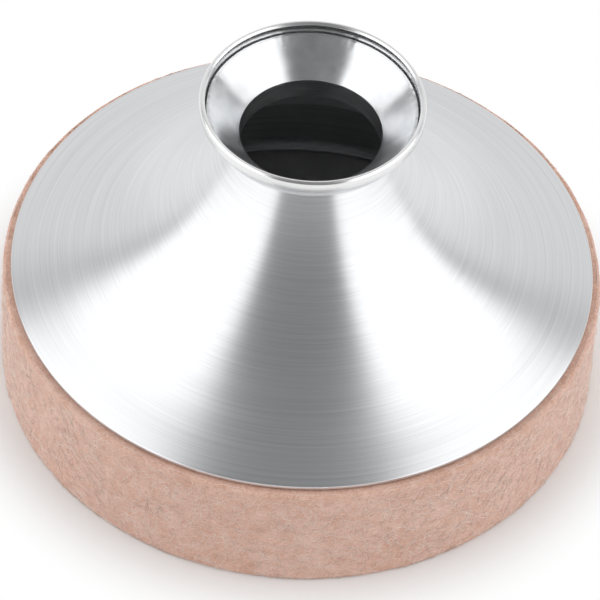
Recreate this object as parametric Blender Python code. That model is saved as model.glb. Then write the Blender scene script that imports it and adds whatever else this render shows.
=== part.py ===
# Saxophone mute: a turned aluminium cone on a felt-covered hoop, open right through.
# Metres, +Z up. The origin is the middle of the flat lower face of the felt.
import math

import bmesh
import bpy

MM = 0.001

# Driving dimensions
FELT_RADIUS = 55.0 * MM
FELT_HEIGHT = 23.1 * MM
FELT_THICKNESS = 2.7 * MM
FELT_EDGE = 0.5 * MM
TOTAL_HEIGHT = 67.4 * MM
GAP = 0.3 * MM

HOOP_WALL = 0.8 * MM
HOOP_BOTTOM = 1.0 * MM
HOOP_LIP = 1.0 * MM

FLANGE_RADIUS = 53.5 * MM
FLANGE_TOP = 24.4 * MM
FLANGE_SEAT = 3.0 * MM
SHEET = 0.8 * MM
NECK_RADIUS = 14.6 * MM
NECK_TOP = 58.4 * MM
STRAIGHT_SHARE = 0.38
FLARE_POWER = 3.1

HOLE_RADIUS = 12.8 * MM
HOLE_TOP = 59.3 * MM
SLEEVE_RADIUS = 13.5 * MM
SLEEVE_BOTTOM = 55.4 * MM
FUNNEL_RADIUS = 18.9 * MM
FUNNEL_TOP = 65.4 * MM
FUNNEL_LAND = 0.5 * MM
FUNNEL_WALL = 1.0 * MM

RIM_RADIUS = 20.3 * MM
RIM_BORE = 19.2 * MM
RIM_FACE = 1.6 * MM
RIM_TOE_DEPTH = 4.8 * MM

AROUND = 64
PROFILE_STEPS = 16

ALUMINIUM = (0.62, 0.63, 0.64, 1.0)
FELT = (0.62, 0.38, 0.31, 1.0)


def clear_scene():
    for item in list(bpy.data.objects):
        bpy.data.objects.remove(item, do_unlink=True)


def surface(name, colour, metallic, roughness):
    material = bpy.data.materials.new(name)
    material.use_nodes = True
    shader = material.node_tree.nodes["Principled BSDF"]
    shader.inputs["Base Color"].default_value = colour
    shader.inputs["Metallic"].default_value = metallic
    shader.inputs["Roughness"].default_value = roughness
    return material


def turned(name, outline, material):
    """Turns a closed outline of (radius, height) points round the Z axis into one solid ring."""
    mesh = bpy.data.meshes.new(name)
    shape = bmesh.new()
    corners = [shape.verts.new((radius, 0.0, height)) for radius, height in outline]
    edges = [shape.edges.new((a, b)) for a, b in zip(corners, corners[1:] + corners[:1])]
    bmesh.ops.spin(shape, geom=corners + edges, cent=(0, 0, 0), axis=(0, 0, 1),
                   angle=2 * math.pi, steps=AROUND, use_merge=True)
    bmesh.ops.remove_doubles(shape, verts=shape.verts, dist=0.01 * MM)
    bmesh.ops.recalc_face_normals(shape, faces=shape.faces)
    shape.to_mesh(mesh)
    shape.free()
    mesh.shade_smooth()
    mesh.set_sharp_from_angle(angle=math.radians(30))
    piece = bpy.data.objects.new(name, mesh)
    piece.data.materials.append(material)
    bpy.context.collection.objects.link(piece)
    return piece


def cone_height(radius):
    """Height of the cone's outer face: shallow at the flange, steep at the neck."""
    share = (FLANGE_RADIUS - radius) / (FLANGE_RADIUS - NECK_RADIUS)
    rise = STRAIGHT_SHARE * share + (1 - STRAIGHT_SHARE) * share ** FLARE_POWER
    return FLANGE_TOP + (NECK_TOP - FLANGE_TOP) * rise


def cone_slope(radius):
    share = (FLANGE_RADIUS - radius) / (FLANGE_RADIUS - NECK_RADIUS)
    rate = STRAIGHT_SHARE + (1 - STRAIGHT_SHARE) * FLARE_POWER * share ** (FLARE_POWER - 1)
    return (NECK_TOP - FLANGE_TOP) / (FLANGE_RADIUS - NECK_RADIUS) * rate


def cone_body(material):
    """Thin sheet: the outer face, then the same curve a sheet's thickness inside it."""
    outer = []
    for step in range(PROFILE_STEPS + 1):
        share = (step / PROFILE_STEPS) ** 0.75
        radius = FLANGE_RADIUS + (NECK_RADIUS - FLANGE_RADIUS) * share
        outer.append((radius, cone_height(radius)))
    inner = []
    for radius, height in outer:
        tilt = math.atan(cone_slope(radius))
        inner.append((radius - SHEET * math.sin(tilt), height - SHEET * math.cos(tilt)))
    seat = FLANGE_TOP - FELT_HEIGHT - GAP
    seat_height = FLANGE_TOP - seat
    clear = [point for point in inner if point[0] < FLANGE_RADIUS - FLANGE_SEAT]
    neck_inside = (NECK_RADIUS - SHEET, NECK_TOP)
    clear[-1] = (NECK_RADIUS - SHEET, clear[-1][1])
    under = [(FLANGE_RADIUS, seat_height), (FLANGE_RADIUS - FLANGE_SEAT, seat_height)]
    outline = outer + [neck_inside] + list(reversed(clear)) + list(reversed(under))
    return turned("cone_body", outline, material)


def base_hoop(material):
    """Plain hoop behind the felt, with a narrow lip turned in at its foot and at its top."""
    outside = FELT_RADIUS - FELT_THICKNESS - GAP
    inside = outside - HOOP_WALL
    low, high = HOOP_BOTTOM, FELT_HEIGHT
    outline = [(outside, low), (outside, high), (inside - HOOP_LIP, high),
               (inside - HOOP_LIP, high - HOOP_WALL), (inside, high - HOOP_WALL),
               (inside, low + HOOP_WALL), (inside - HOOP_LIP, low + HOOP_WALL),
               (inside - HOOP_LIP, low)]
    return turned("base_hoop", outline, material)


def felt_band(material):
    outside, inside = FELT_RADIUS, FELT_RADIUS - FELT_THICKNESS
    outline = [(inside, 0.0), (outside - FELT_EDGE, 0.0), (outside, FELT_EDGE),
               (outside, FELT_HEIGHT - FELT_EDGE), (outside - FELT_EDGE, FELT_HEIGHT),
               (inside, FELT_HEIGHT)]
    return turned("felt_band", outline, material)


def funnel_insert(material):
    """Turned funnel whose sleeve drops into the neck and whose shoulder rests on it."""
    face_run = FUNNEL_RADIUS - FUNNEL_LAND - HOLE_RADIUS
    face_rise = FUNNEL_TOP - HOLE_TOP
    slant = face_rise / face_run
    edge_low = FUNNEL_TOP - FUNNEL_WALL
    shoulder = NECK_TOP + GAP
    under = edge_low - slant * (FUNNEL_RADIUS - NECK_RADIUS)
    outline = [(HOLE_RADIUS, SLEEVE_BOTTOM), (HOLE_RADIUS, HOLE_TOP),
               (FUNNEL_RADIUS - FUNNEL_LAND, FUNNEL_TOP), (FUNNEL_RADIUS, FUNNEL_TOP),
               (FUNNEL_RADIUS, edge_low), (NECK_RADIUS, under), (NECK_RADIUS, shoulder),
               (SLEEVE_RADIUS, shoulder), (SLEEVE_RADIUS, SLEEVE_BOTTOM)]
    return turned("funnel_insert", outline, material)


def rim_ring(material):
    """Rounded lip round the funnel's edge, with a toe that runs under the funnel."""
    slant = (FUNNEL_TOP - HOLE_TOP) / (FUNNEL_RADIUS - FUNNEL_LAND - HOLE_RADIUS)
    drop = GAP * math.sqrt(1 + slant * slant)
    seat_high = FUNNEL_TOP - FUNNEL_WALL - drop + slant * (RIM_BORE - FUNNEL_RADIUS)
    toe_radius = RIM_BORE - 1.6 * MM
    toe_high = seat_high - slant * (RIM_BORE - toe_radius)
    crown = 0.5 * (RIM_RADIUS - RIM_BORE)
    outline = [(RIM_BORE, seat_high), (toe_radius, toe_high),
               (toe_radius + 0.5 * MM, TOTAL_HEIGHT - RIM_TOE_DEPTH - 0.6 * MM),
               (RIM_RADIUS - 0.3 * MM, TOTAL_HEIGHT - RIM_FACE - 1.4 * MM),
               (RIM_RADIUS, TOTAL_HEIGHT - RIM_FACE)]
    for step in range(7):
        turn = math.pi * step / 6
        outline.append((RIM_RADIUS - crown + crown * math.cos(turn),
                        TOTAL_HEIGHT - crown + crown * math.sin(turn)))
    return turned("rim_ring", outline, material)


def main():
    clear_scene()
    spun = surface("spun_aluminium", ALUMINIUM, 1.0, 0.32)
    machined = surface("turned_aluminium", ALUMINIUM, 1.0, 0.22)
    wool = surface("felt", FELT, 0.0, 0.95)
    cone_body(spun)
    base_hoop(spun)
    felt_band(wool)
    funnel_insert(machined)
    rim_ring(machined)


main()
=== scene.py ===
import math
import random

import bpy
from mathutils import Matrix, Vector, noise


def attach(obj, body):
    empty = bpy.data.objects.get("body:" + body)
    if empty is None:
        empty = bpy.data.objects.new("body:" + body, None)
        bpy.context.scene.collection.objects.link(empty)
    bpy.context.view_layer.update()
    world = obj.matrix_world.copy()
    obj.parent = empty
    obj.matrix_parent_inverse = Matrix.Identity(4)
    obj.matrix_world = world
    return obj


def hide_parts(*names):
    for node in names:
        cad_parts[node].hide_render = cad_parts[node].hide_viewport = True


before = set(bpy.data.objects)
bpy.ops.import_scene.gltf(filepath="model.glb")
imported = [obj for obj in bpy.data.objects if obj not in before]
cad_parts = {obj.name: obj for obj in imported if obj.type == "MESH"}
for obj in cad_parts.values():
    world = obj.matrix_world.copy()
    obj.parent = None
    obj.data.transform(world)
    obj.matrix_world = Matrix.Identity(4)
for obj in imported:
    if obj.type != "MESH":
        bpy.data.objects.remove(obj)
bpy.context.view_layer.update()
print("frame loaded:", ", ".join(sorted(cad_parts)))

mm = 0.001
white = (1, 1, 1, 1)


class Signal:  # a socket that adds a Math node when it is used in an expression
    def __init__(self, net, socket):
        self.net = net
        self.socket = socket

    def math(self, operation, *others):
        return self.net.node("ShaderNodeMath", {"operation": operation}, [self, *others])

    def __add__(self, other):
        return self.math("ADD", other)

    def __radd__(self, other):
        return self.math("ADD", other)

    def __sub__(self, other):
        return self.math("SUBTRACT", other)

    def __rsub__(self, other):
        return self.net.node("ShaderNodeMath", {"operation": "SUBTRACT"}, [other, self])

    def __mul__(self, other):
        return self.math("MULTIPLY", other)

    def __rmul__(self, other):
        return self.math("MULTIPLY", other)

    def __truediv__(self, other):
        return self.math("DIVIDE", other)


class Net:  # a node tree, filled one node at a time
    def __init__(self, tree):
        self.tree = tree
        tree.nodes.clear()

    def node(self, kind, settings=None, values=(), output=0):
        made = self.tree.nodes.new(kind)
        for name, setting in (settings or {}).items():
            setattr(made, name, setting)
        pairs = values.items() if isinstance(values, dict) else enumerate(values)
        for place, value in pairs:
            if isinstance(value, Signal):
                self.tree.links.new(value.socket, made.inputs[place])
            else:
                made.inputs[place].default_value = value
        return Signal(self, made.outputs[output]) if len(made.outputs) else made

    def place(self):  # object coordinates
        return self.node("ShaderNodeTexCoord", None, (), "Object")

    def split(self, vector):
        made = self.tree.nodes.new("ShaderNodeSeparateXYZ")
        self.tree.links.new(vector.socket, made.inputs[0])
        return [Signal(self, socket) for socket in made.outputs]

    def join(self, x, y, z):
        return self.node("ShaderNodeCombineXYZ", None, [x, y, z])

    def smooth(self, value, low, high):
        return self.node("ShaderNodeMapRange", {"interpolation_type": "SMOOTHSTEP"},
                         {"Value": value, "From Min": low, "From Max": high})

    def mixNumber(self, factor, low, high):
        return low + (high - low) * factor

    def mixColour(self, factor, first, second):
        return self.node("ShaderNodeMix", {"data_type": "RGBA"},
                         {0: factor, 6: first, 7: second}, 2)

    def cloud(self, vector, scale, detail=2.0, distortion=0.0):
        return self.node("ShaderNodeTexNoise", None, {
            "Vector": vector, "Scale": scale, "Detail": detail, "Distortion": distortion})

    def bump(self, height, strength, distance):
        return self.node("ShaderNodeBump", None, {
            "Strength": strength, "Distance": distance, "Height": height})

    def finish(self, shader):
        self.node("ShaderNodeOutputMaterial", None, {"Surface": shader})


def newMaterial(name):
    material = bpy.data.materials.new(name)
    material.use_nodes = True
    return material, Net(material.node_tree)


# One lathe for every round piece: a ring is extruded, scaled and raised from point to point
lathe = {"mergeDistance": 0.001 * mm, "smoothAngle": 28.0}


def turnPiece(name, outline, around):
    bpy.ops.object.select_all(action="DESELECT")
    radius, height = outline[0]
    bpy.ops.mesh.primitive_circle_add(vertices=around, radius=radius, location=(0, 0, height),
                                      fill_type="NOTHING")
    piece = bpy.context.object
    piece.name = name
    bpy.ops.object.mode_set(mode="EDIT")
    bpy.ops.mesh.select_all(action="SELECT")
    for nextRadius, nextHeight in outline[1:] + outline[:1]:
        bpy.ops.mesh.extrude_region_move(
            TRANSFORM_OT_translate={"value": (0, 0, nextHeight - height)})
        ratio = nextRadius / radius
        bpy.ops.transform.resize(value=(ratio, ratio, 1), center_override=(0, 0, 0))
        radius, height = nextRadius, nextHeight
    bpy.ops.mesh.select_all(action="SELECT")
    bpy.ops.mesh.remove_doubles(threshold=lathe["mergeDistance"])
    bpy.ops.mesh.normals_make_consistent(inside=False)
    bpy.ops.object.mode_set(mode="OBJECT")
    bpy.ops.object.transform_apply(location=True, rotation=True, scale=True)
    bpy.ops.object.shade_smooth_by_angle(angle=math.radians(lathe["smoothAngle"]))
    return piece


def arc(centre, radius, start, end, steps):  # points of a rounded edge, angles in degrees
    points = []
    for step in range(steps + 1):
        turn = math.radians(start + (end - start) * step / steps)
        points.append((centre[0] + radius * math.cos(turn), centre[1] + radius * math.sin(turn)))
    return points


def dress(piece, material, node):
    piece.data.materials.clear()
    piece.data.materials.append(material)
    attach(piece, "root")
    if node:
        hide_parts(node)


# Turned metal: brush lines run round the axis, so a quarter turn spreads light up the slope
brushing = {
    "leastRadius": 0.1 * mm, "lineDetail": 3.0, "lineShare": 0.65, "bandReach": 1.1,
    "bandShare": 0.35, "greyLow": 0.25, "greyHigh": 0.75, "middle": 0.5,
    "smudgeDetail": 3.0, "smudgeWarp": 0.6, "speckInside": 0.025, "speckOutside": 0.06,
    "speckColour": (0.95, 0.95, 0.96, 1), "speckRoughness": 0.2, "lineDepth": 0.02 * mm,
    "quarterTurn": 0.25,
}


def turnedMetal(name, look):
    material, net = newMaterial(name)
    place = net.place()
    x, y, z = net.split(place)
    radius = (x * x + y * y).math("SQRT").math("MAXIMUM", brushing["leastRadius"])
    slope = radius - z
    reach, bandReach = look["lineReach"], brushing["bandReach"]
    lines = net.cloud(net.join(x / radius * reach, y / radius * reach,
                               slope * look["lineDensity"]), 1.0, brushing["lineDetail"])
    bands = net.cloud(net.join(x / radius * bandReach, y / radius * bandReach,
                               slope * look["bandDensity"]), 1.0)
    smudge = net.cloud(place, look["smudgeScale"], brushing["smudgeDetail"], brushing["smudgeWarp"])
    cells = net.node("ShaderNodeTexVoronoi", None, {"Vector": place, "Scale": look["speckScale"]})
    specks = 1.0 - net.smooth(cells, brushing["speckInside"], brushing["speckOutside"])
    grain = lines * brushing["lineShare"] + bands * brushing["bandShare"]
    grey = net.smooth(grain, brushing["greyLow"], brushing["greyHigh"])
    colour = net.mixColour(grey, look["dark"], look["light"])
    colour = net.mixColour(specks * look["speckAmount"], colour, brushing["speckColour"])
    rough = look["roughness"] + (lines - brushing["middle"]) * look["roughSpread"]
    rough = rough + (smudge - brushing["middle"]) * look["smudgeSpread"]
    rough = rough + specks * brushing["speckRoughness"]
    net.finish(net.node("ShaderNodeBsdfPrincipled", None, {
        "Base Color": colour, "Metallic": 1.0, "Roughness": rough,
        "Normal": net.bump(grain, look["bump"], brushing["lineDepth"]),
        "Anisotropic": look["anisotropic"], "Anisotropic Rotation": brushing["quarterTurn"]}))
    return material


# The cone: a thin shell, shallow at its flange and steep at its neck
cone = {
    "flangeRadius": 53.5 * mm, "flangeTop": 24.4 * mm, "flangeUnder": 23.4 * mm,
    "seatWidth": 3.0 * mm, "neckRadius": 14.6 * mm, "neckTop": 58.4 * mm, "sheet": 0.8 * mm,
    "straightShare": 0.38, "flarePower": 3.1, "edgeRound": 0.3 * mm, "edgeEnd": 80.0,
    "edgeSteps": 4, "steps": 44, "stepPower": 0.8, "around": 256,
    "finish": {
        "dark": (0.70, 0.71, 0.73, 1), "light": (0.84, 0.85, 0.86, 1), "roughness": 0.30,
        "roughSpread": 0.05, "smudgeSpread": 0.06, "smudgeScale": 45.0, "anisotropic": 0.7,
        "bump": 0.12, "lineReach": 1.3, "lineDensity": 6000.0, "bandDensity": 1400.0,
        "speckScale": 330.0, "speckAmount": 0.5},
}


def coneShare(radius):  # 0 at the flange, 1 at the neck
    return (cone["flangeRadius"] - radius) / (cone["flangeRadius"] - cone["neckRadius"])


def coneHeight(radius):
    share = coneShare(radius)
    rise = cone["straightShare"] * share
    rise += (1 - cone["straightShare"]) * share ** cone["flarePower"]
    return cone["flangeTop"] + (cone["neckTop"] - cone["flangeTop"]) * rise


def coneTilt(radius):
    rate = (1 - cone["straightShare"]) * cone["flarePower"]
    rate = cone["straightShare"] + rate * coneShare(radius) ** (cone["flarePower"] - 1)
    run = cone["flangeRadius"] - cone["neckRadius"]
    return math.atan(rate * (cone["neckTop"] - cone["flangeTop"]) / run)


def makeCone():
    sheet, edge, edgeSteps = cone["sheet"], cone["edgeRound"], cone["edgeSteps"]
    edgeRadius, neck = cone["flangeRadius"] - edge, cone["neckRadius"]
    outer = []
    for step in range(cone["steps"] + 1):
        share = (step / cone["steps"]) ** cone["stepPower"]
        radius = edgeRadius + (neck - edgeRadius) * share
        outer.append((radius, coneHeight(radius)))
    limit = cone["flangeRadius"] - cone["seatWidth"]
    inner = []
    for radius, height in outer:  # a sheet's thickness in from the outer face
        tilt = coneTilt(radius)
        insideRadius = radius - sheet * math.sin(tilt)
        if insideRadius < limit:
            inner.append((insideRadius, height - sheet * math.cos(tilt)))
    inner[-1] = (neck - sheet, inner[-1][1])
    outline = [(limit, cone["flangeUnder"])]
    outline += arc((edgeRadius, cone["flangeUnder"] + edge), edge, -90, 0, edgeSteps)
    outline += arc((edgeRadius, cone["flangeTop"] - edge), edge, 0, cone["edgeEnd"], edgeSteps)
    outline += outer[1:] + [(neck - sheet, cone["neckTop"])] + list(reversed(inner))
    piece = turnPiece("brushed_cone", outline, cone["around"])
    dress(piece, turnedMetal("brushed_aluminium", cone["finish"]), "cone_body")


# The hoop behind the felt, with a narrow lip at its foot that shows through the hole
hoop = {
    "outside": 52.0 * mm, "wall": 0.8 * mm, "lip": 1.0 * mm, "low": 1.0 * mm, "high": 23.1 * mm,
    "edgeRound": 0.2 * mm, "edgeSteps": 3, "around": 192,
    "finish": {
        "dark": (0.55, 0.56, 0.57, 1), "light": (0.74, 0.75, 0.76, 1), "roughness": 0.34,
        "roughSpread": 0.10, "smudgeSpread": 0.10, "smudgeScale": 60.0, "anisotropic": 0.4,
        "bump": 0.25, "lineReach": 2.0, "lineDensity": 3200.0, "bandDensity": 700.0,
        "speckScale": 280.0, "speckAmount": 0.3},
}


def makeHoop():
    low, high, wall = hoop["low"], hoop["high"], hoop["wall"]
    edge, edgeSteps = hoop["edgeRound"], hoop["edgeSteps"]
    outside, inside = hoop["outside"], hoop["outside"] - wall
    lipRadius = inside - hoop["lip"]
    outline = arc((outside - edge, low + edge), edge, -90, 0, edgeSteps)
    outline += arc((outside - edge, high - edge), edge, 0, 90, edgeSteps)
    outline += [(lipRadius, high), (lipRadius, high - wall), (inside, high - wall)]
    outline += [(inside, low + wall)]
    outline += arc((lipRadius + edge, low + wall - edge), edge, 90, 180, edgeSteps)
    outline += arc((lipRadius + edge, low + edge), edge, 180, 270, edgeSteps)
    piece = turnPiece("felt_hoop", outline, hoop["around"])
    dress(piece, turnedMetal("hoop_aluminium", hoop["finish"]), "base_hoop")


# The funnel in the mouth: sleeve in the neck, bright cone face, rough land round its top
funnel = {
    "hole": 12.8 * mm, "holeTop": 59.3 * mm, "sleeve": 13.5 * mm, "sleeveBottom": 55.4 * mm,
    "radius": 18.9 * mm, "top": 65.4 * mm, "land": 0.5 * mm, "landDrop": 0.05 * mm,
    "wall": 1.0 * mm, "shoulder": 58.7 * mm, "neck": 14.6 * mm, "holeRound": 0.45 * mm,
    "holeRaise": 0.12 * mm, "holeSteps": 5, "faceSteps": 8, "around": 288,
    "burr": 0.07 * mm, "burrScale": 1400, "pitScale": 3300, "pitShare": 0.6,
    "burrInside": 0.01 * mm, "burrBelow": 0.2 * mm,
    "finish": {
        "dark": (0.62, 0.63, 0.65, 1), "light": (0.90, 0.91, 0.92, 1), "roughness": 0.24,
        "roughSpread": 0.14, "smudgeSpread": 0.05, "smudgeScale": 70.0, "anisotropic": 0.6,
        "bump": 0.5, "lineReach": 3.0, "lineDensity": 3600.0, "bandDensity": 1500.0,
        "speckScale": 420.0, "speckAmount": 0.35},
}


def makeFunnel():
    hole, top, radius = funnel["hole"], funnel["top"], funnel["radius"]
    neck, shoulder, sleeve = funnel["neck"], funnel["shoulder"], funnel["sleeve"]
    face = radius - funnel["land"]
    slant = (top - funnel["holeTop"]) / (face - hole)
    edgeLow = top - funnel["wall"]
    bend, lean = funnel["holeRound"], math.degrees(math.atan(slant))
    bendHeight = funnel["holeTop"] - bend * math.tan(math.radians(lean / 2)) + funnel["holeRaise"]
    outline = [(hole, funnel["sleeveBottom"])]
    outline += arc((hole + bend, bendHeight), bend, 180, 90 + lean, funnel["holeSteps"])
    startRadius, startHeight = outline[-1]
    for step in range(1, funnel["faceSteps"] + 1):
        share = step / funnel["faceSteps"]
        outline.append((startRadius + (face - startRadius) * share,
                        startHeight + (top - startHeight) * share))
    outline += [(face + funnel["land"] / 2, top), (radius, top - funnel["landDrop"])]
    outline += [(radius, edgeLow), (neck, edgeLow - slant * (radius - neck)), (neck, shoulder)]
    outline += [(sleeve, shoulder), (sleeve, funnel["sleeveBottom"])]
    piece = turnPiece("mouth_funnel", outline, funnel["around"])
    for vertex in piece.data.vertices:  # the land is torn and pitted where it was parted off
        onLand = math.hypot(vertex.co.x, vertex.co.y) > face - funnel["burrInside"]
        if onLand and vertex.co.z > top - funnel["burrBelow"]:
            pits = funnel["pitShare"] * noise.noise(vertex.co * funnel["pitScale"])
            vertex.co.z += funnel["burr"] * (noise.noise(vertex.co * funnel["burrScale"]) + pits)
    metal = turnedMetal("turned_aluminium", funnel["finish"])
    dress(piece, metal, "funnel_insert")


# The rounded lip that the funnel sits in
rim = {
    "radius": 20.3 * mm, "bore": 19.2 * mm, "top": 67.4 * mm, "face": 1.6 * mm,
    "seatHigh": 64.3 * mm, "toe": 17.6 * mm, "toeHigh": 62.56 * mm, "toeWidth": 0.5 * mm,
    "toeDepth": 0.56 * mm, "footRound": 0.6 * mm, "footDrop": 0.1 * mm, "footStart": -50.0,
    "footSteps": 5, "crownSteps": 14, "around": 256,
    "finish": {
        "dark": (0.80, 0.80, 0.80, 1), "light": (0.92, 0.92, 0.92, 1), "roughness": 0.22,
        "roughSpread": 0.06, "smudgeSpread": 0.05, "smudgeScale": 80.0, "anisotropic": 0.3,
        "bump": 0.12, "lineReach": 2.0, "lineDensity": 3000.0, "bandDensity": 1200.0,
        "speckScale": 500.0, "speckAmount": 0.2},
}


def makeRim():
    radius, top, toe, toeHigh = rim["radius"], rim["top"], rim["toe"], rim["toeHigh"]
    crown, foot = 0.5 * (radius - rim["bore"]), rim["footRound"]
    footHeight = top - rim["face"] - rim["footDrop"]
    outline = [(rim["bore"], rim["seatHigh"]), (toe, toeHigh)]
    outline += [(toe + rim["toeWidth"], toeHigh - rim["toeDepth"])]
    outline += arc((radius - foot, footHeight), foot, rim["footStart"], 0, rim["footSteps"])
    outline += arc((radius - crown, top - crown), crown, 0, 180, rim["crownSteps"])
    piece = turnPiece("mouth_rim", outline, rim["around"])
    dress(piece, turnedMetal("rim_aluminium", rim["finish"]), "rim_ring")


# The felt: a strip round the hoop, butted at the back, a little uneven all over
felt = {
    "radius": 55.0 * mm, "thickness": 2.7 * mm, "height": 23.1 * mm, "edgeRound": 0.5 * mm,
    "edgeSteps": 5, "around": 640, "rows": 34,
    "swell": 0.10 * mm, "sink": 0.6, "lumps": 9, "smallLumps": 4.1, "smallShare": 0.5,
    "seamDepth": 0.5 * mm, "seamReach": 0.35 * mm, "seamAngle": 90.0, "innerFace": 0.5 * mm,
    "pale": (0.86, 0.60, 0.50, 1), "deep": (0.66, 0.37, 0.27, 1), "roughness": 0.95,
    "matScale": 900.0, "matWarp": 2.2, "tuftScale": 260.0, "tuftWarp": 1.2,
    "patchScale": 40.0, "patchWarp": 0.4, "colourShares": (0.55, 0.3, 0.15),
    "colourRange": (0.32, 0.68), "bumpShares": (0.6, 0.4), "bump": 0.55, "bumpDepth": 0.25 * mm,
}


def feltMaterial():
    material, net = newMaterial("salmon_felt")
    place = net.place()
    matted = net.cloud(place, felt["matScale"], 6.0, felt["matWarp"])
    tufts = net.cloud(place, felt["tuftScale"], 4.0, felt["tuftWarp"])
    patches = net.cloud(place, felt["patchScale"], 3.0, felt["patchWarp"])
    matShare, tuftShare, patchShare = felt["colourShares"]
    mix = matted * matShare + tufts * tuftShare + patches * patchShare
    colour = net.mixColour(net.smooth(mix, *felt["colourRange"]), felt["deep"], felt["pale"])
    matShare, tuftShare = felt["bumpShares"]
    bump = net.bump(matted * matShare + tufts * tuftShare, felt["bump"], felt["bumpDepth"])
    net.finish(net.node("ShaderNodeBsdfPrincipled", None, {
        "Base Color": colour, "Roughness": felt["roughness"], "Normal": bump,
        "Sheen Weight": 0.25, "Sheen Roughness": 0.5, "Specular IOR Level": 0.2}))
    return material


def feltSkin(angle, height):  # how far the surface stands out, on a smooth noise
    spot = Vector((math.cos(angle), math.sin(angle), height / felt["radius"])) * felt["lumps"]
    small = felt["smallShare"] * noise.noise(spot * felt["smallLumps"])
    return felt["swell"] * (noise.noise(spot) + small - felt["sink"])


def makeFelt():
    outside, inside = felt["radius"], felt["radius"] - felt["thickness"]
    edge, high, edgeSteps = felt["edgeRound"], felt["height"], felt["edgeSteps"]
    outline = [(inside, 0.0)] + arc((outside - edge, edge), edge, -90, 0, edgeSteps)
    for row in range(1, felt["rows"]):
        outline.append((outside, edge + (high - 2 * edge) * row / felt["rows"]))
    outline += arc((outside - edge, high - edge), edge, 0, 90, edgeSteps) + [(inside, high)]
    piece = turnPiece("felt_strip", outline, felt["around"])
    seam = math.radians(felt["seamAngle"])
    for vertex in piece.data.vertices:
        away = math.hypot(vertex.co.x, vertex.co.y)
        if away < inside + felt["innerFace"]:
            continue
        angle = math.atan2(vertex.co.y, vertex.co.x)
        out = feltSkin(angle, vertex.co.z)
        if abs(angle - seam) * away < felt["seamReach"]:
            out -= felt["seamDepth"]
        vertex.co.x *= 1 + out / away
        vertex.co.y *= 1 + out / away
    dress(piece, feltMaterial(), "felt_band")
    return piece


# Loose fibres matted over the felt
fibre = {
    "seed": 11, "count": 6000, "width": 0.06 * mm, "thinnest": 0.7, "thickest": 1.3,
    "endShare": 0.5, "short": 2.0 * mm, "long": 7.5 * mm, "segments": 5,
    "heading": 0.75, "strayShare": 0.35, "curl": 0.35, "curlChange": 0.12,
    "lift": 0.30 * mm, "liftPower": 3, "sunk": 0.01 * mm,
    "startLow": 0.3 * mm, "startHigh": 0.2 * mm, "lowest": 0.12 * mm, "overTop": 0.15 * mm,
    "colour": (1.0, 0.86, 0.78, 1), "roughness": 0.8, "colourScale": 300.0,
}


def fibrePoints(draw):  # one fibre lies on the felt, wanders, and lifts at its ends
    angle = draw.uniform(0, 2 * math.pi)
    height = draw.uniform(fibre["startLow"], felt["height"] - fibre["startHigh"])
    heading = draw.gauss(0, fibre["heading"])
    if draw.random() < fibre["strayShare"]:
        heading = draw.uniform(0, 2 * math.pi)
    pace = draw.uniform(fibre["short"], fibre["long"]) / fibre["segments"]
    lift = draw.uniform(0.0, 1.0) ** fibre["liftPower"] * fibre["lift"]
    curl = draw.gauss(0, fibre["curl"])
    points = []
    for step in range(fibre["segments"] + 1):
        share = step / fibre["segments"]
        out = felt["radius"] - fibre["sunk"] + feltSkin(angle, height)
        out += lift * (2 * share - 1) ** 2
        over = height - felt["height"] + felt["edgeRound"]
        if over > 0:  # over the upper edge the fibre follows the rounding
            out -= min(over * over / felt["edgeRound"], felt["edgeRound"])
        level = min(max(height, fibre["lowest"]), felt["height"] + fibre["overTop"])
        points.append(Vector((out * math.cos(angle), out * math.sin(angle), level)))
        angle += math.cos(heading) * pace / felt["radius"]
        height += math.sin(heading) * pace
        heading += curl
        curl += draw.gauss(0, fibre["curlChange"])
    return points


def addFibre(points, width, corners, faces):  # a thin three-sided strand, closed at its ends
    base, last = len(corners), len(points) - 1
    for index, point in enumerate(points):
        ahead = points[min(index + 1, last)] - points[max(index - 1, 0)]
        outward = Vector((point.x, point.y, 0)).normalized()
        sideways = ahead.cross(outward).normalized()
        thin = width * (fibre["endShare"] if index in (0, last) else 1.0)
        corners += [point + sideways * thin, point - sideways * thin, point + outward * thin]
    for low in range(base, base + 3 * last, 3):
        for side in range(3):
            after = (side + 1) % 3
            faces.append((low + side, low + after, low + 3 + after, low + 3 + side))
    end = base + 3 * last
    faces += [(base + 2, base + 1, base), (end, end + 1, end + 2)]


def fibreMaterial():
    material, net = newMaterial("felt_fibre")
    tint = net.cloud(net.place(), fibre["colourScale"])
    net.finish(net.node("ShaderNodeBsdfPrincipled", None, {
        "Base Color": net.mixColour(tint, felt["pale"], fibre["colour"]),
        "Roughness": fibre["roughness"], "Sheen Weight": 0.3, "Specular IOR Level": 0.3}))
    return material


def makeFibres():
    draw = random.Random(fibre["seed"])
    corners, faces = [], []
    for _ in range(fibre["count"]):
        points = fibrePoints(draw)
        width = fibre["width"] * draw.uniform(fibre["thinnest"], fibre["thickest"])
        addFibre(points, width, corners, faces)
    mesh = bpy.data.meshes.new("felt_fibres")
    mesh.from_pydata(corners, [], faces)
    mesh.validate()
    piece = bpy.data.objects.new("felt_fibres", mesh)
    bpy.context.scene.collection.objects.link(piece)
    bpy.ops.object.select_all(action="DESELECT")
    piece.select_set(True)
    bpy.context.view_layer.objects.active = piece
    bpy.ops.object.mode_set(mode="EDIT")
    bpy.ops.mesh.select_all(action="SELECT")
    bpy.ops.mesh.normals_make_consistent(inside=False)
    bpy.ops.object.mode_set(mode="OBJECT")
    mesh.shade_smooth()
    dress(piece, fibreMaterial(), None)
    return piece


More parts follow.
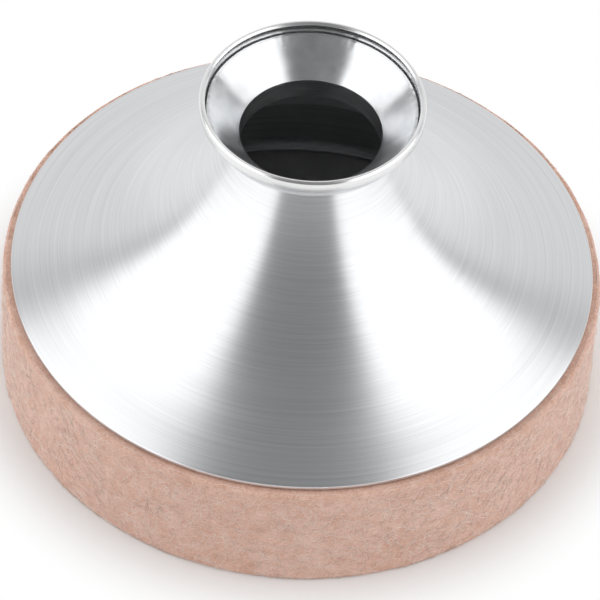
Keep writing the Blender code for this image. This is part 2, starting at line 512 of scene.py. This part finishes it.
# Studio light: a softbox to each side, a darker strip between them over the camera, a grey
# wedge behind each softbox, and a pale back
studio = {
    "softbox": 1.5, "strip": 0.24, "wedge": 0.42, "back": 0.84,
    "stripLean": 0.58, "stripFlare": 0.25, "stripEdge": (-0.06, 0.08),
    "wedgeLean": 0.2, "wedgeFlare": 0.5, "wedgeEdge": (-0.01, 0.03), "backEdge": (0.12, 0.26),
}


def makeLight():
    world = bpy.data.worlds.new("studio")
    bpy.context.scene.world = world
    world.use_nodes = True
    net = Net(world.node_tree)
    x, y, z = net.split(net.node("ShaderNodeTexCoord", None, (), "Generated"))
    side = x.math("ABSOLUTE")
    toward = (y * -1.0).math("MAXIMUM", 0.0)
    beside = side - toward * studio["stripLean"] - z * studio["stripFlare"]
    behind = y - side * studio["wedgeLean"] - z * studio["wedgeFlare"]
    level = net.mixNumber(net.smooth(beside, *studio["stripEdge"]),
                          studio["strip"], studio["softbox"])
    level = net.mixNumber(net.smooth(behind, *studio["wedgeEdge"]), level, studio["wedge"])
    level = net.mixNumber(net.smooth(behind, *studio["backEdge"]), level, studio["back"])
    seen = net.node("ShaderNodeBackground", None, {"Color": white, "Strength": 1.0})
    light = net.node("ShaderNodeBackground", None, {"Color": white, "Strength": level})
    camera = net.node("ShaderNodeLightPath", None, (), "Is Camera Ray")
    net.node("ShaderNodeOutputWorld", None,
             {"Surface": net.node("ShaderNodeMixShader", None, [camera, light, seen])})


# Floor: it takes the shadow close to the felt, and is white to the camera further out
floor = {
    "size": 4.0, "drop": 0.1 * mm, "colour": (0.92, 0.92, 0.92, 1), "shadowEdge": (0.052, 0.07),
}


def makeFloor():
    bpy.ops.object.select_all(action="DESELECT")
    bpy.ops.mesh.primitive_plane_add(size=floor["size"], location=(0, 0, -floor["drop"]))
    piece = bpy.context.object
    piece.name = "floor"
    material, net = newMaterial("pale_floor")
    x, y, z = net.split(net.place())
    away = (x * x + y * y).math("SQRT")
    camera = net.node("ShaderNodeLightPath", None, (), "Is Camera Ray")
    glossy = net.node("ShaderNodeLightPath", None, (), "Is Glossy Ray")
    share = camera.math("MAXIMUM", glossy) * net.smooth(away, *floor["shadowEdge"])
    plain = net.node("ShaderNodeBsdfDiffuse", None, {"Color": floor["colour"]})
    bright = net.node("ShaderNodeEmission", None, {"Color": white, "Strength": 1.0})
    net.finish(net.node("ShaderNodeMixShader", None, [share, plain, bright]))
    piece.data.materials.append(material)


# Camera at the photograph's angle, for a square picture
view = {
    "distance": 0.9988, "elevation": 48.72, "pitch": 48.18, "roll": 3.73,
    "focalPixels": 5335.0, "pictureWidth": 600.0, "sensor": 36.0, "nearest": 0.01,
}


def makeCamera():
    elevation, pitch, roll = (math.radians(view[key]) for key in ("elevation", "pitch", "roll"))
    forward = Vector((0, math.cos(pitch), -math.sin(pitch)))
    right = Vector((1, 0, 0))
    up = right.cross(forward)
    across = right * math.cos(roll) + up * math.sin(roll)
    upward = up * math.cos(roll) - right * math.sin(roll)
    turn = Matrix((across, upward, -forward)).transposed().to_4x4()
    data = bpy.data.cameras.new("camera")
    data.sensor_width = view["sensor"]
    data.lens = view["focalPixels"] / view["pictureWidth"] * view["sensor"]
    data.clip_start = view["nearest"]
    camera = bpy.data.objects.new("camera", data)
    place = Vector((0, -math.cos(elevation), math.sin(elevation))) * view["distance"]
    camera.matrix_world = Matrix.Translation(place) @ turn
    bpy.context.scene.collection.objects.link(camera)
    bpy.context.scene.camera = camera


makeCamera()
makeLight()
makeFloor()
print("camera and studio ready")
makeCone()
makeHoop()
makeFunnel()
makeRim()
print("metal pieces ready")
strip = makeFelt()
fibres = makeFibres()
print("felt ready")

bpy.context.scene.view_settings.view_transform = "Standard"
